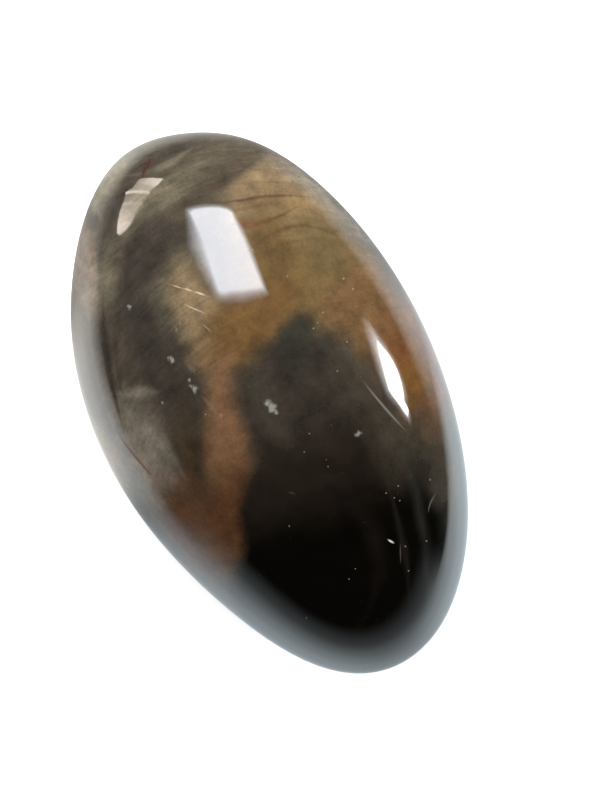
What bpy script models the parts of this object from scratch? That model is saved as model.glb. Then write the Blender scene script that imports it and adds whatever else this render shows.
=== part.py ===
"""A polished pebble of polychrome jasper, lying on the small flat spot of its underside.

The stone is one solid. It is an egg form with a few broad, soft places where the polisher left more
stone or took more away, so that no two of its sides are quite alike. Units are metres.
+X runs to the narrower end, +Y to the flatter long side, +Z up from the surface it rests on.
"""

import math

import bpy
from mathutils import Vector

# The pebble's overall size.
LENGTH = 0.0800
WIDTH = 0.0475
HEIGHT = 0.0330

# The widest girdle lies a little under the middle, so that the crown is fuller than the underside.
CROWN_SHARE = 0.53

# The underside is worn flat where the stone rests: how deep the wear goes, and how softly it ends.
REST_DEPTH = 0.0005
REST_EASE = 0.0003

# The side of the stone is a little squarer than an ellipse. An ellipse has a power of 2.
SIDE_POWER = 2.03

# Each swell: compass direction from +X towards +Y in degrees, height above the girdle in degrees,
# how much fuller (or, below zero, flatter) the stone is there, and how far the swell spreads, round
# the stone and up and down it. The first five shape the outline, and the others the crown and underside.
SWELLS = (
    (125, -10, -0.029, 0.50, 1.00),
    (170, 6, -0.071, 0.50, 1.00),
    (215, -12, -0.030, 0.50, 1.00),
    (260, 4, 0.057, 0.50, 1.00),
    (310, -4, -0.044, 0.50, 1.00),
    (20, 52, -0.012, 0.60, 0.60),
    (200, 58, 0.014, 0.60, 0.60),
    (100, -48, -0.016, 0.60, 0.60),
    (285, -52, 0.012, 0.60, 0.60),
)

SPHERE_SUBDIVISIONS = 5
STONE_COLOUR = (0.105, 0.075, 0.043, 1.0)
STONE_ROUGHNESS = 0.06


def clear_scene():
    for old in list(bpy.data.objects):
        bpy.data.objects.remove(old, do_unlink=True)


def direction_of(compass, height):
    """The unit vector at a compass direction and a height above the girdle, both in degrees."""
    turn, rise = math.radians(compass), math.radians(height)
    return Vector((math.cos(turn) * math.cos(rise), math.sin(turn) * math.cos(rise), math.sin(rise)))


def fullness(direction):
    """How much further out than the plain egg form the stone reaches in this direction."""
    share = 1.0
    for compass, height, fuller, spread_round, spread_up in SWELLS:
        gap = direction - direction_of(compass, height)
        share += fuller * math.exp(-(gap.xy.length / spread_round) ** 2 - (gap.z / spread_up) ** 2)
    return share


def raw_point(direction):
    """The stone's surface in this direction, before it is brought to its exact size."""
    flat = math.hypot(direction.x, direction.y)
    squared = (flat**SIDE_POWER + abs(direction.z) ** SIDE_POWER) ** (-1.0 / SIDE_POWER)
    reach = squared * fullness(direction)
    rise = HEIGHT * (CROWN_SHARE if direction.z > 0 else 1.0 - CROWN_SHARE)
    return Vector((direction.x * LENGTH / 2, direction.y * WIDTH / 2, direction.z * rise)) * reach


def worn_height(height, lowest):
    """The height of a point once the underside is worn flat at lowest + REST_DEPTH, with a soft edge."""
    above = height - (lowest + REST_DEPTH)
    if above >= REST_EASE:
        return above
    if above <= -REST_EASE:
        return 0.0
    return (above + REST_EASE) ** 2 / (4 * REST_EASE)


def shape_stone(mesh):
    """Moves the unit sphere's points onto the stone, whose box is exactly LENGTH by WIDTH by HEIGHT."""
    points = [raw_point(vertex.co.normalized()) for vertex in mesh.vertices]
    lowest = min(point.z for point in points)
    for point in points:
        point.z = worn_height(point.z, lowest)
    low = Vector([min(point[axis] for point in points) for axis in range(3)])
    high = Vector([max(point[axis] for point in points) for axis in range(3)])
    origin = Vector(((low.x + high.x) / 2, (low.y + high.y) / 2, low.z))
    scale = [full / (high[axis] - low[axis]) for axis, full in enumerate((LENGTH, WIDTH, HEIGHT))]
    for vertex, point in zip(mesh.vertices, points):
        vertex.co = [(point[axis] - origin[axis]) * scale[axis] for axis in range(3)]


def stone_material():
    material = bpy.data.materials.new("jasper")
    material.use_nodes = True
    shader = material.node_tree.nodes["Principled BSDF"]
    shader.inputs["Base Color"].default_value = STONE_COLOUR
    shader.inputs["Roughness"].default_value = STONE_ROUGHNESS
    shader.inputs["Metallic"].default_value = 0.0
    return material


def make_pebble(collection):
    bpy.ops.mesh.primitive_ico_sphere_add(subdivisions=SPHERE_SUBDIVISIONS, radius=1.0)
    pebble = bpy.context.active_object
    pebble.name = "pebble"
    pebble.data.name = "pebble"
    for home in list(pebble.users_collection):
        home.objects.unlink(pebble)
    collection.objects.link(pebble)
    shape_stone(pebble.data)
    pebble.data.shade_smooth()
    pebble.data.materials.append(stone_material())
    return pebble


def main():
    clear_scene()
    collection = bpy.data.collections.new("jasper pebble")
    bpy.context.scene.collection.children.link(collection)
    make_pebble(collection)


main()
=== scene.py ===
import math

import bmesh
import bpy
import numpy as np
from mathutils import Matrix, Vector


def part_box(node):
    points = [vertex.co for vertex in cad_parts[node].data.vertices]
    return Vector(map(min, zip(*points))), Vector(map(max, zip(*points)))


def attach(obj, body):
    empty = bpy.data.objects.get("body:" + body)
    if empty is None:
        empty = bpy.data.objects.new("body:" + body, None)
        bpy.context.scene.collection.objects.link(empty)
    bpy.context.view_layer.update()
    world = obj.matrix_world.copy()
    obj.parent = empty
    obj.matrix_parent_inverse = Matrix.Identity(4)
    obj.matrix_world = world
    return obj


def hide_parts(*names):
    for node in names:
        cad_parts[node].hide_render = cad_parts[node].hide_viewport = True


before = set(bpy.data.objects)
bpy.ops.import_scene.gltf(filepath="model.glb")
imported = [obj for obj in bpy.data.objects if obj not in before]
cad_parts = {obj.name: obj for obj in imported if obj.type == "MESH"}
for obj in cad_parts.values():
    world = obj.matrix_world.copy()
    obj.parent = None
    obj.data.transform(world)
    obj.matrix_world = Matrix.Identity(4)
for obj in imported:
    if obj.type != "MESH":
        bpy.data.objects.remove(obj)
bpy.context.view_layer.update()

# The pebble
# One piece of jasper, ground to a soft egg and tumbled until its skin shines like glass. It is blunter at
# one end, fuller along one side, and lies on a small place that wore flat on its underside.

# Each swell: compass direction from +X towards +Y in degrees, height above the girdle in degrees, how
# much fuller (or, below zero, flatter) the stone is there, and its spread round the stone and up and down.
SWELLS = (
    (125, -10, -0.029, 0.50, 1.00),
    (170, 6, -0.071, 0.50, 1.00),
    (215, -12, -0.030, 0.50, 1.00),
    (260, 4, 0.057, 0.50, 1.00),
    (310, -4, -0.044, 0.50, 1.00),
    (20, 52, -0.012, 0.60, 0.60),
    (200, 58, 0.014, 0.60, 0.60),
    (100, -48, -0.016, 0.60, 0.60),
    (285, -52, 0.012, 0.60, 0.60),
)
CROWN_SHARE = 0.53
SIDE_POWER = 2.03
REST_DEPTH = 0.0005
REST_EASE = 0.0003
SKIN_SUBDIVISIONS = 7

stone_low, stone_high = (np.array(corner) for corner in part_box("pebble"))
stone_size = stone_high - stone_low


def egg_points(directions):
    """Points of the stone's skin in these directions, with its box at stone_low and stone_high."""
    share = np.ones(len(directions))
    for compass, height, fuller, spread_round, spread_up in SWELLS:
        turn, rise = math.radians(compass), math.radians(height)
        middle = (math.cos(turn) * math.cos(rise), math.sin(turn) * math.cos(rise), math.sin(rise))
        gap = directions - np.array(middle)
        flat_gap = np.hypot(gap[:, 0], gap[:, 1])
        share += fuller * np.exp(-((flat_gap / spread_round) ** 2) - (gap[:, 2] / spread_up) ** 2)
    flat = np.hypot(directions[:, 0], directions[:, 1])
    up = directions[:, 2]
    reach = share * (flat**SIDE_POWER + np.abs(up) ** SIDE_POWER) ** (-1 / SIDE_POWER)
    points = directions * reach[:, None] * stone_size / 2
    points[:, 2] *= np.where(up > 0, CROWN_SHARE, 1 - CROWN_SHARE) * 2
    above = points[:, 2] - points[:, 2].min() - REST_DEPTH
    eased = np.clip(above + REST_EASE, 0, None) ** 2 / (4 * REST_EASE)
    points[:, 2] = np.where(above >= REST_EASE, above, eased)
    low, high = points.min(axis=0), points.max(axis=0)
    return (points - low) * (stone_size / (high - low)) + stone_low


skin = bmesh.new()
bmesh.ops.create_icosphere(skin, subdivisions=SKIN_SUBDIVISIONS, radius=1.0)
sphere = np.array([vertex.co.normalized() for vertex in skin.verts])
points = egg_points(sphere)
for vertex, point in zip(skin.verts, points):
    vertex.co = point
pebble_mesh = bpy.data.meshes.new("polished_pebble")
skin.to_mesh(pebble_mesh)
skin.free()
pebble_mesh.shade_smooth()
pebble = bpy.data.objects.new("polished_pebble", pebble_mesh)
bpy.context.scene.collection.objects.link(pebble)

# The jasper's colours run through the whole stone. They are laid down below in millimetres of the rock's
# own bedding, which leans and curls with depth, so that they carry on round the sides and underneath.
jasper = bpy.data.materials.new("jasper")
jasper.use_nodes = True
tree = jasper.node_tree
shader = tree.nodes["Principled BSDF"]


def put(kind, *values, out=0, **settings):
    """Adds a node, fills its inputs in order with sockets or plain values, and gives one of its outputs."""
    made = tree.nodes.new(kind)
    for name, value in settings.items():
        setattr(made, name, value)
    for socket, value in zip(made.inputs, values):
        if isinstance(value, bpy.types.NodeSocket):
            tree.links.new(value, socket)
        elif value is not None:
            socket.default_value = value
    return None if out is None else made.outputs[out]


def sums(how, *values):
    return put("ShaderNodeMath", *values, operation=how)


def vectors(how, *values, out=0):
    return put("ShaderNodeVectorMath", *values, operation=how, out=out)


def length_of(vector):
    return vectors("LENGTH", vector, out=1)


def ease(value, start, end, low=0.0, high=1.0):
    """Goes softly from low to high as the value goes from start to end."""
    softly = {"interpolation_type": "SMOOTHSTEP", "clamp": False}
    return put("ShaderNodeMapRange", value, start, end, low, high, **softly)


def swing(value, by, about=0.0):
    """Turns a value from 0 to 1 into one that swings by this much, half each way, about a middle."""
    return sums("MULTIPLY_ADD", value, by, about - by / 2)


def noise(place, size, detail=3.0, rough=0.55, colour=False):
    """Cloudy noise whose lumps are about this many millimetres across."""
    made = tree.nodes.new("ShaderNodeTexNoise")
    tree.links.new(place, made.inputs["Vector"])
    made.inputs["Scale"].default_value = 1.0 / size
    made.inputs["Detail"].default_value = detail
    made.inputs["Roughness"].default_value = rough
    return made.outputs["Color" if colour else "Fac"]


def mix(amount, under, over, blend="MIX"):
    """Lays one colour over another."""
    made = tree.nodes.new("ShaderNodeMix")
    made.data_type = "RGBA"
    made.blend_type = blend
    for index, value in ((0, amount), (6, under), (7, over)):
        if isinstance(value, bpy.types.NodeSocket):
            tree.links.new(value, made.inputs[index])
        else:
            made.inputs[index].default_value = value
    return made.outputs[2]


def shade(red, green, blue):
    """A colour as seen on a screen, 0 to 255, as the light that the stone gives back."""
    parts = [part / 255 for part in (red, green, blue)]
    return [part / 12.92 if part <= 0.04045 else ((part + 0.055) / 1.055) ** 2.4 for part in parts] + [1.0]


MM = 1000.0
stone_mm = vectors("MULTIPLY", put("ShaderNodeTexCoord", out=3), (MM, MM, MM))
split = tree.nodes.new("ShaderNodeSeparateXYZ")
tree.links.new(stone_mm, split.inputs[0])
x_mm, y_mm, z_mm = split.outputs
depth = sums("SUBTRACT", float(stone_size[2]) * MM, z_mm)

# How far the bedding leans for each millimetre of depth, and how it curls: radians for each millimetre of
# height and for each millimetre to the side, and how many millimetres the curl shifts it.
LEAN_ALONG = 0.30
LEAN_ACROSS = -0.24
ALONG_TURN_UP, ALONG_TURN_ASIDE, ALONG_CURL = 0.21, 0.06, 1.6
ACROSS_TURN_UP, ACROSS_TURN_ASIDE, ACROSS_CURL = 0.17, 0.07, 1.8
ACROSS_TURN_START = 1.3
turn = sums("ADD", sums("MULTIPLY", z_mm, ALONG_TURN_UP), sums("MULTIPLY", y_mm, ALONG_TURN_ASIDE))
along_curl = sums("SINE", turn)
turn = sums("MULTIPLY_ADD", z_mm, ACROSS_TURN_UP, ACROSS_TURN_START)
across_curl = sums("SINE", sums("ADD", turn, sums("MULTIPLY", x_mm, ACROSS_TURN_ASIDE)))
along = sums("MULTIPLY_ADD", along_curl, ALONG_CURL, sums("MULTIPLY_ADD", depth, LEAN_ALONG, x_mm))
across = sums("MULTIPLY_ADD", across_curl, ACROSS_CURL, sums("MULTIPLY_ADD", depth, LEAN_ACROSS, y_mm))
bed = put("ShaderNodeCombineXYZ", along, across, 0.0)


def wobble(place, size, by, detail=2.0):
    """Shifts a place in the bedding by up to about half of by, in lumps of this size."""
    lumps = noise(stone_mm, size, detail, colour=True)
    shift = vectors("MULTIPLY_ADD", lumps, (by, by, 0), (-by / 2, -by / 2, 0))
    return vectors("ADD", place, shift)


broad_bed = wobble(bed, 7.0, 3.0)
smoke_bed = wobble(broad_bed, 2.4, 1.8, 3.0)
calm_bed = wobble(bed, 5.0, 0.8)
fine_bed = wobble(calm_bed, 0.8, 0.35)
ragged_bed = wobble(bed, 0.6, 1.0, 3.0)


def patch(place, middle, reach, turn, soft):
    """How far inside an oval patch a place is, 0 to 1. Soft is the share of its reach that the edge takes."""
    cosine, sine = math.cos(math.radians(turn)), math.sin(math.radians(turn))
    from_middle = vectors("SUBTRACT", place, (*middle, 0))
    first = vectors("DOT_PRODUCT", from_middle, (cosine / reach[0], sine / reach[0], 0), out=1)
    second = vectors("DOT_PRODUCT", from_middle, (-sine / reach[1], cosine / reach[1], 0), out=1)
    out_by = length_of(put("ShaderNodeCombineXYZ", first, second, 0.0))
    return ease(out_by, 1 + soft / 2, 1 - soft / 2)


def paint_patches(under, place, patches):
    """Paints each oval patch of a list over a colour."""
    for paint, middle, reach, turn, soft, strength in patches:
        under = mix(sums("MULTIPLY", patch(place, middle, reach, turn, soft), strength), under, paint)
    return under


def stroke(place, points, soft):
    """How far inside a brush stroke a place is, 0 to 1. Each point is along, across and half width."""
    nearest = None
    for (a0, b0, wide0), (a1, b1, wide1) in zip(points, points[1:]):
        run = (a1 - a0, b1 - b0, 0.0)
        squared = run[0] ** 2 + run[1] ** 2
        from_start = vectors("SUBTRACT", place, (a0, b0, 0.0))
        share = vectors("DOT_PRODUCT", from_start, tuple(part / squared for part in run), out=1)
        share = put("ShaderNodeClamp", share, 0.0, 1.0)
        foot = tree.nodes.new("ShaderNodeVectorMath")
        foot.operation = "SCALE"
        foot.inputs[0].default_value = run
        tree.links.new(share, foot.inputs["Scale"])
        gap = vectors("DISTANCE", from_start, foot.outputs[0], out=1)
        outside = sums("SUBTRACT", gap, sums("MULTIPLY_ADD", share, wide1 - wide0, wide0))
        nearest = outside if nearest is None else sums("MINIMUM", nearest, outside)
    return ease(nearest, soft / 2, -soft / 2)


def streaks(place, width, length, slope, bow, detail=2.0):
    """Hair-like streaks that run across the bedding, sloped and bowed, 0 to 1."""
    made = tree.nodes.new("ShaderNodeSeparateXYZ")
    tree.links.new(place, made.inputs[0])
    bowed = sums("MULTIPLY", made.outputs[1], sums("MULTIPLY_ADD", made.outputs[1], -bow, -slope))
    beside = sums("ADD", bowed, made.outputs[0])
    lengthways = sums("MULTIPLY", made.outputs[1], width / length)
    return noise(put("ShaderNodeCombineXYZ", beside, lengthways, 0.0), width, detail)


def arc(place, start, end, bow, half_width, soft):
    """How far inside a bowed line a place is, 0 to 1. It tapers to both ends and bows to its left."""
    run = (end[0] - start[0], end[1] - start[1])
    length = math.hypot(*run)
    from_start = vectors("SUBTRACT", place, (*start, 0.0))
    share = vectors("DOT_PRODUCT", from_start, (run[0] / length**2, run[1] / length**2, 0.0), out=1)
    aside = vectors("DOT_PRODUCT", from_start, (-run[1] / length, run[0] / length, 0.0), out=1)
    bulge = sums("MULTIPLY", share, sums("SUBTRACT", 1.0, share))
    gap = sums("ABSOLUTE", sums("MULTIPLY_ADD", bulge, -4 * bow, aside))
    return ease(sums("MULTIPLY_ADD", bulge, -4 * half_width, gap), soft / 2, -soft / 2)


def paint_arcs(under, place, arcs):
    """Paints each bowed line of a list over a colour."""
    for paint, start, end, bow, half_width, soft, strength in arcs:
        under = mix(sums("MULTIPLY", arc(place, start, end, bow, half_width, soft), strength), under, paint)
    return under


def dots(place, spots, soft):
    """How far inside any of these round dots a place is, 0 to 1. Each dot is along, across and radius."""
    nearest = None
    for a, b, radius in spots:
        outside = sums("SUBTRACT", vectors("DISTANCE", place, (a, b, 0.0), out=1), radius)
        nearest = outside if nearest is None else sums("MINIMUM", nearest, outside)
    return ease(nearest, soft / 2, -soft / 2)


# The stone's own colours.
TAUPE = shade(70, 63, 49)
STRAW = shade(92, 85, 68)
TAN = shade(116, 98, 72)
OCHRE = shade(98, 79, 47)
AMBER = shade(95, 70, 39)
UMBER = shade(82, 63, 36)
RUST = shade(98, 73, 46)
CHARCOAL = shade(47, 41, 35)
SOOT = shade(30, 24, 19)
BLACK = shade(5, 4, 2)
DARK_OLIVE = shade(54, 43, 30)
OLIVE_GREY = shade(60, 54, 44)
BONE = shade(112, 104, 91)
CLAY = shade(105, 77, 53)
BROWN = shade(76, 50, 31)
GROUND_DARK = shade(48, 42, 35)
GROUND_PALE = shade(68, 60, 48)
FIELD_GREENISH = shade(50, 45, 36)
FIELD_REDDISH = shade(42, 34, 31)

colour = mix(noise(stone_mm, 6.0, 4.0), GROUND_DARK, GROUND_PALE)

# Each patch: colour, middle and reach along and across in millimetres, turn in degrees, softness, strength.
PATCHES = (
    (TAUPE, (-33, 2), (6.5, 14), 0, 0.8, 0.9),
    (STRAW, (-30, -6), (2.6, 5.5), 12, 1.2, 0.9),
    (shade(118, 99, 74), (-22.0, 9.2), (6.0, 6.9), -20, 0.8, 1.0),
    (OCHRE, (-13, 8.5), (11, 7.0), 4, 0.9, 1.0),
    (UMBER, (-17.5, 6), (4.0, 2.2), 0, 1.4, 0.8),
    (shade(112, 105, 94), (-19.5, 16.6), (10, 2.4), 16, 1.4, 0.8),
    (shade(128, 105, 72), (-18.2, 11.6), (3.6, 2.8), 10, 1.2, 0.75),
    (UMBER, (-13.2, 5.4), (4.0, 2.6), 0, 1.4, 0.5),
    (RUST, (-3, 14.5), (9.0, 3.4), 4, 1.0, 1.0),
    (shade(94, 61, 34), (5.5, 18.0), (8.0, 3.2), 0, 1.2, 1.0),
    (shade(98, 68, 32), (8.0, 16.2), (2.8, 1.4), -20, 0.8, 0.9),
    (shade(72, 58, 42), (6.0, 20.8), (9.0, 2.2), 0, 1.4, 0.8),
    (shade(88, 74, 46), (-14.5, 12.0), (5.5, 2.6), 8, 1.2, 0.8),
    (STRAW, (-20.5, -5.5), (3.8, 3.2), 30, 1.4, 0.8),
    (STRAW, (-18.4, -9.6), (3.0, 2.4), 20, 1.3, 0.6),
    (TAN, (-13.9, -4.6), (7.4, 3.2), 8, 1.1, 1.0),
    (AMBER, (-9.8, 1.2), (4.4, 6.8), 6, 1.0, 1.0),
    (CHARCOAL, (-24.5, -9), (4.0, 5.5), 25, 1.2, 0.9),
    (CHARCOAL, (-15, -13.2), (9.5, 3.0), -4, 1.3, 0.9),
    (CHARCOAL, (-7.5, -10.0), (5.5, 2.4), 5, 1.3, 0.8),
    (BONE, (1.0, -20.2), (8.5, 4.2), 4, 1.6, 0.85),
    (shade(118, 106, 92), (1.5, -20.6), (3.2, 1.8), 20, 1.4, 0.6),
    (STRAW, (-24, -17.0), (5.5, 2.2), -42, 1.4, 0.9),
    (DARK_OLIVE, (3.4, -11.8), (6.6, 3.0), -12, 1.3, 1.0),
    (BROWN, (11, -19), (7.0, 4.5), -30, 1.4, 1.0),
    (OCHRE, (-22, -27), (8.0, 4.5), -16, 1.2, 0.8),
    (CHARCOAL, (-9, -29), (7.0, 4.0), 12, 1.1, 0.9),
    (TAN, (4, -30), (8.0, 4.0), -8, 1.2, 0.9),
    (DARK_OLIVE, (18, -28), (8.0, 5.0), 10, 1.2, 0.9),
)
colour = paint_patches(colour, smoke_bed, PATCHES)

# The vein that crosses from the tan side, under the dark field, and grows browner on its way.
VEIN = (
    (-6.5, -3.2, 1.2), (-3.6, -4.8, 1.8), (2, -5.8, 2.7), (7, -7.4, 3.4),
    (10.8, -10.0, 3.6), (15, -14.4, 3.2), (18, -20, 3),
)
VEIN_SOFT = 3.6
VEIN_BROWNS = (1, 10)
colour = mix(stroke(smoke_bed, VEIN, VEIN_SOFT), colour, mix(ease(along, *VEIN_BROWNS), CLAY, BROWN))

# The dark field, greyer near its upper edge. It turns to soot and then to black towards the narrow end, along
# lines that lean across the stone and are ragged.
FIELD = (
    (-5.4, 7.4, 2.2), (-2.5, 5.8, 4.4), (3, 5.0, 8.1), (10, 5.1, 8.7),
    (14, 4.2, 9.8), (18, 2.3, 13), (30, -1, 17), (44, -2, 19),
)
FIELD_SOFT = 3.2
FIELD_GREYS = (7.0, 13.5)
FIELD_SOOTS = (-1.0, 11.5)
FIELD_BLACKENS = (10.0, 20.0)
NIGHT_LEAN = -0.22
NIGHT_RAGGED = 5.0
dark = mix(noise(stone_mm, 3.0, 3.0), FIELD_GREENISH, FIELD_REDDISH)
dark = mix(ease(across, *FIELD_GREYS), dark, OLIVE_GREY)
night = sums("MULTIPLY_ADD", across, NIGHT_LEAN, swing(noise(stone_mm, 5.0), NIGHT_RAGGED))
night = sums("ADD", along, night)
dark = mix(ease(night, *FIELD_SOOTS), dark, SOOT)
dark = mix(ease(night, *FIELD_BLACKENS), dark, BLACK)
colour = mix(stroke(smoke_bed, FIELD, FIELD_SOFT), colour, dark)

# Lighter and darker places in the field, and one along its edge that is less smoky than the rest.
FIELD_PATCHES = (
    (shade(42, 41, 34), (-4.5, 6.8), (3.6, 2.4), 20, 1.2, 0.8),
    (shade(72, 66, 54), (1.0, 0.8), (4.2, 2.0), 0, 1.6, 0.3),
    (shade(56, 50, 40), (12.8, 13.5), (5.2, 2.4), -6, 1.5, 0.7),
)
colour = paint_patches(colour, smoke_bed, FIELD_PATCHES)
FIELD_EDGE = (shade(52, 47, 39), (6.4, 13.6), (4.8, 1.5), 3, 0.9, 0.8)
colour = paint_patches(colour, calm_bed, [FIELD_EDGE])

# Bands that follow the blunt end, and a rust stain in one of them.
# Each line: colour, start and end along and across, bow, half width, softness, strength.
CAP_BANDS = (
    (shade(58, 49, 39), (-27.6, -7.0), (-28.8, 10.5), -0.2, 0.9, 1.6, 0.75),
    (STRAW, (-31.2, -4.5), (-31.2, 5.5), 1.0, 0.7, 1.7, 0.55),
    (shade(94, 88, 70), (-32.0, -3.5), (-27.4, -11.2), -0.5, 0.9, 1.6, 0.60),
    (shade(112, 104, 85), (-29.5, -14.0), (-33.0, 12.5), 6.1, 0.95, 1.6, 0.90),
    (shade(50, 44, 37), (-25.2, -16.0), (-34.0, 7.5), 4.5, 0.9, 1.2, 0.85),
    (shade(116, 108, 90), (-34.3, -5.5), (-34.1, 2.5), -0.4, 0.30, 0.8, 0.35),
    (shade(60, 54, 42), (-33.5, -5.5), (-33.3, 2.0), -0.3, 0.22, 0.7, 0.60),
    (shade(62, 54, 43), (-30.4, 3.0), (-29.4, 10.8), -0.3, 0.9, 1.8, 0.70),
    (shade(58, 33, 18), (-33.6, -5.0), (-35.2, -2.2), 0.15, 0.26, 0.4, 0.95),
)
colour = paint_arcs(colour, calm_bed, CAP_BANDS)

# Thin brown rings in the tan, like the grain of wood.
RING = shade(70, 44, 28)
TAN_RINGS = (
    (RING, (-28.1, 2.4), (-22.6, 13.8), 0.35, 0.13, 0.50, 0.35),
    (RING, (-25.7, 2.2), (-21.3, 12.6), 0.20, 0.20, 0.45, 0.75),
    (RING, (-24.1, 3.0), (-21.8, 9.4), 0.10, 0.12, 0.50, 0.30),
    (shade(92, 50, 36), (-22.4, 2.8), (-20.3, 6.2), 0.0, 0.55, 1.10, 0.55),
    (RING, (-20.8, 4.6), (-20.1, 10.8), -0.20, 0.22, 0.60, 0.65),
    (RING, (-18.2, 4.6), (-14.2, 13.8), 1.90, 0.20, 0.60, 0.50),
    (RING, (-16.5, 5.2), (-15.4, 11.2), 0.60, 0.20, 0.70, 0.30),
    (UMBER, (-15.6, 4.4), (-13.0, 10.4), 0.20, 0.70, 1.60, 0.45),
)
colour = paint_arcs(colour, calm_bed, TAN_RINGS)

# Pale wisps, dark lines and two thin rusty cracks along the fuller long side.
WISPS = (
    (shade(112, 97, 82), (-28.4, -15.4), (-19.4, -20.6), 0.0, 0.90, 1.3, 0.85),
    (shade(118, 110, 97), (-9.2, -20.8), (-8.0, -14.2), 0.1, 0.70, 1.4, 0.50),
    (shade(130, 122, 108), (-7.0, -20.4), (2.2, -14.8), 1.0, 0.60, 2.2, 0.30),
    (shade(36, 31, 25), (-21.0, -17.8), (-5.6, -22.2), -0.6, 0.50, 0.8, 0.85),
    (shade(46, 40, 33), (-17.4, -17.8), (-10.0, -20.0), -0.2, 0.35, 0.9, 0.60),
    (shade(34, 28, 24), (-31.2, -12.4), (-29.0, -14.7), 0.1, 0.30, 0.5, 0.75),
    (shade(98, 66, 50), (-29.2, -14.5), (-24.6, -16.9), -0.1, 0.16, 0.5, 0.60),
    (shade(72, 40, 26), (-4.0, -23.7), (2.3, -20.5), -0.25, 0.26, 0.4, 0.90),
)
colour = paint_arcs(colour, calm_bed, WISPS)

# Faint smoky veils deep in the dark narrow end.
VEILS = (
    (shade(46, 46, 41), (9.5, 14.2), (31.0, 9.6), 1.3, 0.40, 1.5, 0.45),
    (shade(38, 34, 31), (19.5, 10.4), (31.0, 7.0), 0.4, 0.25, 1.0, 0.45),
    (shade(46, 48, 45), (16.5, 15.4), (32.5, 10.4), 1.9, 0.60, 1.6, 0.45),
    (shade(20, 15, 12), (14.0, 4.0), (31.6, 0.5), 4.0, 1.00, 2.6, 0.60),
)
colour = paint_arcs(colour, calm_bed, VEILS)

# Hair-like streaks, strongest at the blunt end, faint low on the sides and calm in the tan, with combed
# wisps along the fuller side. Fine speckle and soft clouds lie over all of it.
HAIR_SLOPE = 0.10
HAIR_BOW = 0.016
HAIR_STRENGTH = 0.9
BROAD_STRENGTH = 1.0
COMBED_SLOPE = -0.9
COMBED_STRENGTH = 0.6
TAN_CALMS = -0.75
hair = streaks(fine_bed, 0.34, 3.8, HAIR_SLOPE, HAIR_BOW, 3.0)
broad = streaks(broad_bed, 1.5, 7.0, HAIR_SLOPE, HAIR_BOW)
combed = streaks(fine_bed, 0.8, 2.8, COMBED_SLOPE, 0.0, 3.0)
calm = patch(smoke_bed, (-16, 6), (12, 10), 0, 0.7)
showing = sums("MULTIPLY", ease(along, 4.0, -13.0, 0.10, 1.0), sums("MULTIPLY_ADD", calm, TAN_CALMS, 1.0))
showing = sums("MULTIPLY", showing, ease(sums("ABSOLUTE", across), 24.0, 15.5, 0.25, 1.0))
grain = sums("ADD", swing(hair, HAIR_STRENGTH), swing(broad, BROAD_STRENGTH))
grain = sums("MULTIPLY_ADD", grain, showing, 1.0)
wispy = sums("MULTIPLY", ease(across, -12.5, -17.0), ease(along, 8.0, 0.0))
grain = sums("ADD", grain, sums("MULTIPLY", swing(combed, COMBED_STRENGTH), wispy))
speckle = swing(noise(stone_mm, 0.35, 3.0, 0.7), 0.7, about=1.0)
cloud = swing(noise(stone_mm, 2.6, 5.0, 0.66), 1.5, about=1.0)
texture = sums("MULTIPLY", grain, sums("MULTIPLY", speckle, cloud))
colour = mix(1.0, colour, put("ShaderNodeCombineXYZ", texture, texture, texture), "MULTIPLY")

# The marks of use in the polish: crushed pale bruises with ragged edges, smudges beside them, short nicks and
# scratches with painted glints of light along them, a painted thin reflection, dust and dark pits. Each dot:
# along, across and radius.
CRUSHED = shade(138, 136, 122)
BRUISES = (
    (0.7, 0.95, 0.36), (1.5, 1.3, 0.52), (2.2, 1.6, 0.26), (-5.7, -8.2, 0.40), (-6.2, -8.7, 0.18),
    (-10.5, -10.3, 0.34), (-10.9, -10.8, 0.15), (-19.4, -14.3, 0.20), (10.0, 10.0, 0.26),
    (-7.0, -8.6, 0.18), (-13.7, -8.5, 0.12), (-6.2, -13.9, 0.12),
)
bruised = sums("MULTIPLY", dots(ragged_bed, BRUISES, 0.50), 0.72)
colour = mix(bruised, colour, CRUSHED)
SMUDGES = (
    (shade(130, 112, 96), (-3.8, -7.2), (-1.6, -6.2), 0.0, 0.20, 0.8, 0.40),
    (shade(146, 118, 94), (-1.2, -6.0), (-0.7, -5.5), 0.0, 0.25, 0.6, 0.50),
    (shade(112, 106, 98), (-8.8, -8.1), (-7.7, -7.6), 0.0, 0.20, 0.9, 0.35),
)
colour = paint_arcs(colour, ragged_bed, SMUDGES)
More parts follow.
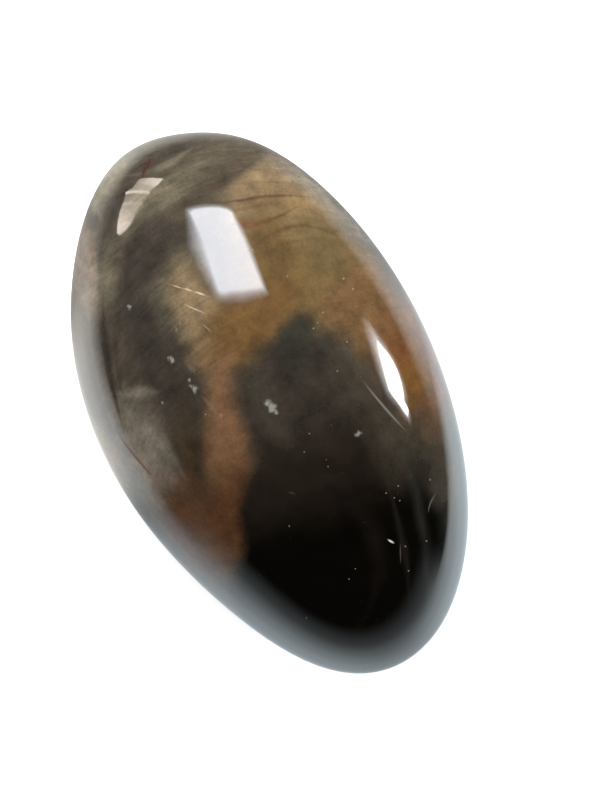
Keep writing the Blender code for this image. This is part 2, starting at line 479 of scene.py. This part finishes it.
# Painted highlights: the bright warm lines below are scratches with their glints of light painted into the
# colour, and the first, grey-white line is a painted reflection of a thin bright line.
NICK_GLINT = shade(205, 186, 156)
NICKS_AND_PAINTED_GLINTS = (
    (shade(150, 145, 130), (5.0, 12.7), (12.1, 14.6), 0.0, 0.08, 0.22, 0.50),
    (NICK_GLINT, (-19.4, -7.6), (-15.4, -2.9), 0.0, 0.05, 0.16, 0.30),
    (NICK_GLINT, (-16.7, -4.3), (-15.7, -3.2), 0.0, 0.09, 0.15, 0.85),
    (NICK_GLINT, (-17.8, -5.6), (-17.1, -4.8), 0.0, 0.08, 0.15, 0.70),
    (NICK_GLINT, (-19.0, -7.1), (-18.1, -6.1), 0.0, 0.06, 0.15, 0.55),
    (NICK_GLINT, (-15.8, -6.1), (-13.7, -3.9), 0.0, 0.06, 0.16, 0.65),
    (NICK_GLINT, (-12.5, -4.5), (-11.1, -3.6), 0.0, 0.05, 0.15, 0.35),
    (shade(206, 206, 198), (24.2, 7.65), (25.05, 8.1), 0.0, 0.11, 0.15, 0.90),
    (shade(120, 120, 112), (22.3, 14.6), (23.7, 13.3), -0.1, 0.06, 0.16, 0.50),
    (shade(84, 72, 66), (25.6, 8.7), (27.8, 7.6), 0.0, 0.07, 0.18, 0.60),
    (shade(80, 72, 66), (12.1, -1.0), (12.9, -0.2), 0.0, 0.06, 0.16, 0.55),
)
colour = paint_arcs(colour, bed, NICKS_AND_PAINTED_GLINTS)
DUSTY_WHITE = shade(168, 162, 148)
DUST = (
    (6.8, 4.6, 0.06), (1.4, 10.2, 0.06), (-1.3, 12.0, 0.06), (-6.2, 10.3, 0.06), (19.8, 10.7, 0.05),
    (20.2, 14.9, 0.05), (26.2, 0.8, 0.06), (26.2, 9.1, 0.07), (27.1, 11.5, 0.06), (-14.1, -7.6, 0.06),
    (-2.1, -7.8, 0.08), (-8.8, 13.1, 0.08), (-7.0, 13.7, 0.07), (-5.0, 8.9, 0.07), (-5.4, 9.5, 0.05),
    (18.7, 10.1, 0.06), (18.7, 11.7, 0.06), (20.5, 11.1, 0.05), (16.1, -2.9, 0.06), (8.6, 3.1, 0.06),
    (11.8, 5.1, 0.05), (29.3, 7.9, 0.06), (25.4, 2.2, 0.05), (28.5, -7.2, 0.06), (-17.9, 4.2, 0.06),
    (-12.6, 7.4, 0.06),
)
colour = mix(sums("MULTIPLY", dots(bed, DUST, 0.14), 0.7), colour, DUSTY_WHITE)
PIT_DARK = shade(20, 16, 12)
PITS = (
    (-23.9, 13.7, 0.10), (-23.8, 12.4, 0.10), (-21.9, 11.7, 0.06), (36.6, 3.0, 0.10), (36.0, -2.4, 0.12),
)
colour = mix(sums("MULTIPLY", dots(ragged_bed, PITS, 0.2), 0.85), colour, PIT_DARK)

# The finest dust: a mote in some of the cells that fill the stone, most of them over the dark field.
MOTE_CELL = 0.8
MOTE_LARGEST = 0.06
MOTE_EDGE = 0.03
MOTE_GREY = shade(150, 142, 126)
motes = tree.nodes.new("ShaderNodeTexVoronoi")
motes.inputs["Scale"].default_value = 1 / MOTE_CELL
tree.links.new(stone_mm, motes.inputs["Vector"])
lot = tree.nodes.new("ShaderNodeSeparateColor")
tree.links.new(motes.outputs["Color"], lot.inputs[0])
dusty = sums("MULTIPLY_ADD", patch(smoke_bed, (9.5, 9), (6, 3.2), 10, 1.0), 0.36, 0.30)
size = sums("MULTIPLY", sums("SUBTRACT", dusty, lot.outputs[0]), 0.20)
outside = sums("SUBTRACT", motes.outputs["Distance"], sums("MINIMUM", size, MOTE_LARGEST))
mote = ease(outside, MOTE_EDGE, -MOTE_EDGE)
colour = mix(sums("MULTIPLY", mote, sums("MULTIPLY_ADD", lot.outputs[1], 0.5, 0.15)), colour, MOTE_GREY)

# The polish, a little duller where it is smeared and dull where it is bruised. It is very slightly wavy, as
# tumbling leaves it.
STONE_IOR = 1.54
POLISH = 0.04
SMEAR_DULLS = 0.03
BRUISE_DULLS = 0.5
WAVE = 0.000008
WAVE_LENGTH = 4.5
tree.links.new(colour, shader.inputs["Base Color"])
smear = ease(noise(stone_mm, 9.0, 3.0), 0.45, 0.75, 0.0, SMEAR_DULLS)
dull = sums("ADD", smear, sums("MULTIPLY_ADD", bruised, BRUISE_DULLS, POLISH))
tree.links.new(dull, shader.inputs["Roughness"])
wave = put("ShaderNodeBump", 1.0, WAVE, None, noise(stone_mm, WAVE_LENGTH, 1.0))
tree.links.new(wave, shader.inputs["Normal"])
shader.inputs["IOR"].default_value = STONE_IOR
pebble_mesh.materials.append(jasper)
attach(pebble, "root")
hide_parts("pebble")

# The table top
# A plain white floor under the stone, lit well past white. The polish doesn't mirror the floor itself but the
# pale sheet below, which is dimmer close to the stone, brightest on the window side, and fades with distance.
TABLE_HALF = 0.5
TABLE_WHITE = (0.83, 0.84, 0.85, 1)
TABLE_ROUGHNESS = 0.9
TABLE_FADES = (0.45, 0.30)


def flat_square(name, half):
    mesh = bpy.data.meshes.new(name)
    corners = [(x * half, y * half, float(stone_low[2])) for x, y in ((-1, -1), (1, -1), (1, 1), (-1, 1))]
    mesh.from_pydata(corners, [], [(0, 1, 2, 3)])
    square = bpy.data.objects.new(name, mesh)
    bpy.context.scene.collection.objects.link(square)
    return square


table = flat_square("white_floor", TABLE_HALF)
table.visible_glossy = False
paint = bpy.data.materials.new("white_floor")
paint.use_nodes = True
tree = paint.node_tree
white = tree.nodes["Principled BSDF"]
white.inputs["Base Color"].default_value = TABLE_WHITE
white.inputs["Roughness"].default_value = TABLE_ROUGHNESS
white.inputs["Specular IOR Level"].default_value = 0.0
place = put("ShaderNodeTexCoord", out=3)
tree.links.new(ease(length_of(place), *TABLE_FADES), white.inputs["Alpha"])
table.data.materials.append(paint)

# How bright the sheet is in all directions, and the brighter fans that the windows throw over it: compass
# direction and half spread in degrees, and how much brighter. The near fan dies away between its two ends.
SHEET_LIGHT = 0.80
SHEET_FANS = ((60, 70, 1.95), (325, 50, 1.15), (254, 32, 2.0), (178, 24, 1.1))
NEAR_FAN = (224, 40, 0.30)
NEAR_FAN_ENDS = (0.102, 0.135)
WARM_SHEET = (1.0, 1.0, 0.97, 1.0)
COOL_SHEET = (0.88, 1.0, 1.07, 1.0)
WARM_WAY = (-1, -0.3, 0)
WARM_FROM_TO = (-0.2, 0.8)
# The stone's shade on the sheet: the stone's length for each unit of its width, how far past the stone's
# side the shade reaches, and how bright the sheet is right beside the stone.
STONE_LENGTHENS = 1.65
STONE_SIDE = -0.004
SHADE_REACH = 0.037
SHADE_DARKEST = 0.36
# Past SHEET_FADE the sheet fades with distance. On one side it ends at a soft edge, and only a tongue of
# it, warmer in colour, carries on past that edge and dies away between its two ends.
SHEET_FADE = 0.115
SHEET_EDGE_FACES = (-0.579, 0.815, 0.0)
SHEET_EDGE = 0.044
SHEET_EDGE_SOFT = 0.034
TONGUE = (110, 42, 0.9)
TONGUE_ENDS = (0.075, 0.215)
WARM_TONGUE = (0.97, 0.90, 0.76, 1.0)
TONGUE_WARMS = (110, 80)
TONGUE_WARM_FROM = (0.045, 0.140)
sheet = flat_square("mirrored_sheet", TABLE_HALF * 2)
sheet.visible_camera = False
sheet.visible_diffuse = False
sheet.visible_shadow = False
glow = bpy.data.materials.new("mirrored_sheet")
glow.use_nodes = True
tree = glow.node_tree
tree.nodes.clear()
place = put("ShaderNodeTexCoord", out=3)
out_from_middle = length_of(place)
outward = vectors("NORMALIZE", place)
stretched = length_of(vectors("MULTIPLY", place, (1.0, STONE_LENGTHENS, 1.0)))
beside_stone = sums("SUBTRACT", 1.0, sums("DIVIDE", float(stone_size[0]) / 2, stretched))
gap = sums("MULTIPLY", out_from_middle, beside_stone)


def fan(compass, spread, brighter=1.0):
    """A soft fan round a compass direction, brightest along its middle."""
    turn = math.radians(compass)
    near_middle = vectors("DOT_PRODUCT", outward, (math.cos(turn), math.sin(turn), 0), out=1)
    return ease(near_middle, math.cos(math.radians(spread)), 1.0, 0.0, brighter)


strength = sums("MULTIPLY_ADD", fan(*NEAR_FAN), ease(out_from_middle, *reversed(NEAR_FAN_ENDS)), SHEET_LIGHT)
for compass, spread, brighter in SHEET_FANS:
    strength = sums("ADD", strength, fan(compass, spread, brighter))
strength = sums("MULTIPLY", strength, ease(gap, STONE_SIDE, SHADE_REACH, SHADE_DARKEST, 1.0))
warm_side = ease(vectors("DOT_PRODUCT", outward, WARM_WAY, out=1), *WARM_FROM_TO)
shown = put("ShaderNodeMath", SHEET_FADE, out_from_middle, operation="DIVIDE", use_clamp=True)
past_edge = vectors("DOT_PRODUCT", place, SHEET_EDGE_FACES, out=1)
before_edge = ease(past_edge, SHEET_EDGE + SHEET_EDGE_SOFT / 2, SHEET_EDGE - SHEET_EDGE_SOFT / 2)
tongue = sums("MULTIPLY", fan(*TONGUE), ease(out_from_middle, *reversed(TONGUE_ENDS)))
shown = sums("MULTIPLY", shown, sums("MAXIMUM", before_edge, tongue))
sheet_colour = mix(warm_side, COOL_SHEET, WARM_SHEET)
warmed = sums("MULTIPLY", fan(*TONGUE_WARMS), ease(out_from_middle, *TONGUE_WARM_FROM))
sheet_colour = mix(warmed, sheet_colour, WARM_TONGUE)
lit = put("ShaderNodeEmission", sheet_colour, strength)
clear = put("ShaderNodeBsdfTransparent")
put("ShaderNodeOutputMaterial", put("ShaderNodeMixShader", shown, clear, lit), out=None)
sheet.data.materials.append(glow)

# Each light: strength, spread and lean towards the window side, both in degrees.
TABLE_LIGHT = (5.0, 70, 0)
BODY_LIGHT = (1.2, 60, -28)


def soft_light(name, thing, strength, spread, lean):
    """A soft light from above on one thing alone. The polish doesn't mirror it."""
    lamp = bpy.data.lights.new(name, "SUN")
    lamp.energy = strength
    lamp.angle = math.radians(spread)
    light = bpy.data.objects.new(name, lamp)
    light.rotation_euler = (0, math.radians(lean), 0)
    bpy.context.scene.collection.objects.link(light)
    only_thing = bpy.data.collections.new("lit_by_" + name)
    only_thing.objects.link(thing)
    light.light_linking.receiver_collection = only_thing
    light.visible_glossy = False


soft_light("table_light", table, *TABLE_LIGHT)
soft_light("body_light", pebble, *BODY_LIGHT)

# The windows
# Three bright openings round the room, which the polish shows as crisp pale shapes, each with a little stray
# light round it. Each corner is a compass direction from +X towards +Y and a height above the table, how far
# its edge is soft inwards and how far its stray light reaches outwards, all in degrees, and the edge's level.
WINDOW_DISTANCE = 3.0
STRAY_HALFWAY = 0.38
DAYLIGHT = (0.90, 0.93, 1.0)
DAYLIGHT_STRENGTH = 17.0
MAIN_WINDOW = (
    (174.2, 37.2, 1.6, 2.6, 0.40), (171, 36.4, 1, 2, 0.35), (163, 35.6, 1, 2, 0.35),
    (156, 34.7, 1, 2, 0.35), (151.7, 34.5, 1, 2, 0.35), (149, 35.3, 1, 2, 0.35),
    (148, 37.8, 1.3, 2, 0.35), (145.3, 42, 1.6, 2, 0.35), (141.6, 48, 1.6, 2, 0.45),
    (131.5, 60.4, 1.2, 2, 0.45), (139, 64.0, 1.2, 2, 0.38), (155.5, 67.7, 1.4, 3, 0.38),
    (176, 69, 1.6, 2.5, 0.3), (183.5, 68.3, 2.4, 2.5, 0.25), (184.5, 66.5, 4, 3.5, 0.3),
    (180, 60, 3, 6, 0.5), (177, 52, 2.5, 8, 0.55),
)
SUNLIT = (1.0, 1.0, 1.0)
SUNLIT_STRENGTH = 30.0
SIDE_WINDOW = (
    (91.7, 16.8, 0.5, 5, 0.3), (90, 14.9, 0.5, 4, 0.24), (88.5, 12.5, 0.5, 3, 0.18),
    (86.8, 11.3, 0.5, 3, 0.18), (84.9, 11, 0.5, 3, 0.18), (83, 11.6, 0.5, 3, 0.18),
    (81.2, 12.9, 0.5, 3, 0.18), (79, 15.2, 0.5, 2, 0.12), (77.6, 14, 0.5, 2, 0.12),
    (76.1, 16.4, 0.5, 2, 0.12), (77.1, 18.8, 0.5, 2, 0.12), (78.6, 21.3, 0.5, 2, 0.12),
    (80.1, 23.6, 0.5, 3, 0.18), (81.5, 25, 0.5, 4, 0.24), (83.9, 24.1, 0.5, 5, 0.3),
    (86.4, 22.6, 0.5, 5, 0.3), (89, 20.6, 0.5, 6, 0.36), (90.7, 18.5, 0.5, 6, 0.36),
)
# The shaded window, from its top down. Each row: its outer edge and its inner edge, each with compass,
# height, and how much of the light the blind lets through there. The first rows are crisp on both sides, and
# the others are softer on the inner side.
BLIND = (1.0, 0.87, 0.76)
BLIND_STRENGTH = 12.5
SHADED_WINDOW = (
    (191.4, 3.4, 0.35, 179.2, 13.4, 1.0), (195.1, 4.7, 0.35, 183.6, 16.0, 0.95),
    (198.0, 5.4, 0.38, 187.6, 16.8, 0.45), (202.4, 2.5, 0.45, 190.1, 17.0, 0.40),
    (203.2, 2.1, 1.0, 190.9, 17.4, 0.7), (203.9, 2.8, 0.9, 191.9, 17.9, 0.6),
    (204.5, 3.4, 0.25, 192.7, 18.2, 0.20), (206.9, 5.4, 0.35, 196.8, 18.8, 0.20),
    (208.3, 5.6, 0.45, 198.8, 19.1, 0.22), (208.9, 5.7, 0.75, 199.6, 19.1, 0.40),
    (209.7, 5.8, 0.45, 201.0, 19.0, 0.25), (212.2, 6.2, 0.60, 205.5, 19.2, 0.35),
    (215.3, 7.6, 0.75, 209.9, 19.2, 0.45), (217.2, 8.4, 0.95, 212.5, 18.7, 0.75),
    (218.8, 9.4, 1.0, 215.9, 16.8, 0.90), (220.3, 10.8, 1.0, 220.0, 12.4, 0.90),
)
CRISP_EDGE = 0.7
SOFT_EDGE = 2.0
CRISP_ROWS = 5


def towards(compass, height):
    """The unit vector at a compass direction and a height above the table, both in degrees."""
    turn, rise = math.radians(compass), math.radians(height)
    return Vector((math.cos(turn) * math.cos(rise), math.sin(turn) * math.cos(rise), math.sin(rise)))


def bright_card(name, points, levels, faces, tint, strength):
    """A card that gives light, as much at each of its points as its level says."""
    mesh = bpy.data.meshes.new(name)
    mesh.from_pydata([tuple(point) for point in points], [], faces)
    level = mesh.attributes.new("level", "FLOAT", "POINT")
    level.data.foreach_set("value", levels)
    card = bpy.data.objects.new(name, mesh)
    bpy.context.scene.collection.objects.link(card)
    card.visible_camera = False
    card.visible_shadow = False
    light = bpy.data.materials.new(name)
    light.use_nodes = True
    global tree
    tree = light.node_tree
    tree.nodes.clear()
    share = put("ShaderNodeAttribute", attribute_name="level", out=2)
    bright = put("ShaderNodeEmission", (*tint, 1.0), sums("MULTIPLY", share, strength))
    both = put("ShaderNodeAddShader", bright, put("ShaderNodeBsdfTransparent"))
    put("ShaderNodeOutputMaterial", both, out=None)
    mesh.materials.append(light)


def opening(name, corners, tint, strength):
    """A bright card in the shape of the window, with a soft edge and stray light that dies away outwards."""
    count = len(corners)
    rim = [towards(compass, height) for compass, height, soft, glow, level in corners]
    middle = sum(rim, Vector()) / count
    inner = [at + (middle - at).normalized() * math.radians(corner[2]) for at, corner in zip(rim, corners)]
    outer = [at + (at - middle).normalized() * math.radians(corner[3]) for at, corner in zip(rim, corners)]
    halfway = [(at + end) / 2 for at, end in zip(rim, outer)]
    points = [at * WINDOW_DISTANCE for at in inner + rim + halfway + outer]
    rim_levels = [corner[4] for corner in corners]
    halfway_levels = [level * STRAY_HALFWAY for level in rim_levels]
    levels = [1.0] * count + rim_levels + halfway_levels + [0.0] * count
    faces = [tuple(range(count))]
    for ring in (0, count, 2 * count):
        for index in range(count):
            after = (index + 1) % count
            faces.append((ring + index, ring + after, ring + count + after, ring + count + index))
    bright_card(name, points, levels, faces, tint, strength)


opening("main_window", MAIN_WINDOW, DAYLIGHT, DAYLIGHT_STRENGTH)
opening("side_window", SIDE_WINDOW, SUNLIT, SUNLIT_STRENGTH)

points, levels, faces = [], [], []
for row, (compass, height, level, inner_compass, inner_height, inner_level) in enumerate(SHADED_WINDOW):
    outer, inner = towards(compass, height), towards(inner_compass, inner_height)
    run = (inner - outer).normalized()
    past_outer = outer - run * math.radians(CRISP_EDGE)
    past_inner = inner + run * math.radians(CRISP_EDGE if row < CRISP_ROWS else SOFT_EDGE)
    points += [at * WINDOW_DISTANCE for at in (past_outer, outer, inner, past_inner)]
    levels += [0.0, level, inner_level, 0.0]
    if row:
        faces += [(4 * row + i - 4, 4 * row + i - 3, 4 * row + i + 1, 4 * row + i) for i in range(3)]
bright_card("shaded_window", points, levels, faces, BLIND, BLIND_STRENGTH)

# The room
# Dim overhead and all round, lighter over the blunt end, with one pale low wall beyond the narrow end. The
# wall has a soft top and is brighter at its foot. Past the table the camera sees plain white.
WALL_LIGHT = 1.1
WALL_WAY = (0.974, -0.225, 0.0)
WALL_SIDES = (0.42, 0.66)
WALL_TOP = (0.40, 0.10, 0.0, 0.50)
WALL_FOOT = (0.14, -0.06, 0.0, 0.60)
OVERHEAD = (1.0, 0.96, 0.90, 1.0)
OVERHEAD_RISES = (0.3, -0.8, 0.018, 0.30)
PAST_TABLE = (1.3, 1.3, 1.3, 1.0)
world = bpy.data.worlds.new("room")
bpy.context.scene.world = world
world.use_nodes = True
tree = world.node_tree
tree.nodes.clear()
way = put("ShaderNodeTexCoord", out=0)
split = tree.nodes.new("ShaderNodeSeparateXYZ")
tree.links.new(way, split.inputs[0])
towards_x, _, height = split.outputs
facing_wall = ease(vectors("DOT_PRODUCT", way, WALL_WAY, out=1), *WALL_SIDES)
wall = sums("ADD", ease(height, *WALL_TOP), ease(height, *WALL_FOOT))
wall = sums("MULTIPLY", wall, facing_wall)
light = mix(ease(towards_x, *OVERHEAD_RISES), (0, 0, 0, 1), OVERHEAD)
light = mix(wall, light, (WALL_LIGHT * 0.90, WALL_LIGHT, WALL_LIGHT * 1.04, 1.0))
seen = put("ShaderNodeLightPath", out=0)
light = mix(seen, light, PAST_TABLE)
air = tree.nodes.new("ShaderNodeBackground")
tree.links.new(light, air.inputs["Color"])
end = tree.nodes.new("ShaderNodeOutputWorld")
tree.links.new(air.outputs[0], end.inputs["Surface"])

# The camera
# Straight above the stone and turned so that the narrow end points down and to the right.
CAMERA_PLACE = (0.000139, 0.003745, 0.32)
CAMERA_TURN = 65.53
CAMERA_LENS = 100.85
CAMERA_NEAR = 0.01
SENSOR = 36.0
camera = bpy.data.cameras.new("camera")
camera.lens = CAMERA_LENS
camera.sensor_fit = "VERTICAL"
camera.sensor_height = SENSOR
camera.clip_start = CAMERA_NEAR
camera.dof.use_dof = False
eye = bpy.data.objects.new("camera", camera)
eye.location = CAMERA_PLACE
eye.rotation_euler = (0, 0, math.radians(CAMERA_TURN))
bpy.context.scene.collection.objects.link(eye)
bpy.context.scene.camera = eye
bpy.context.scene.view_settings.view_transform = "Standard"
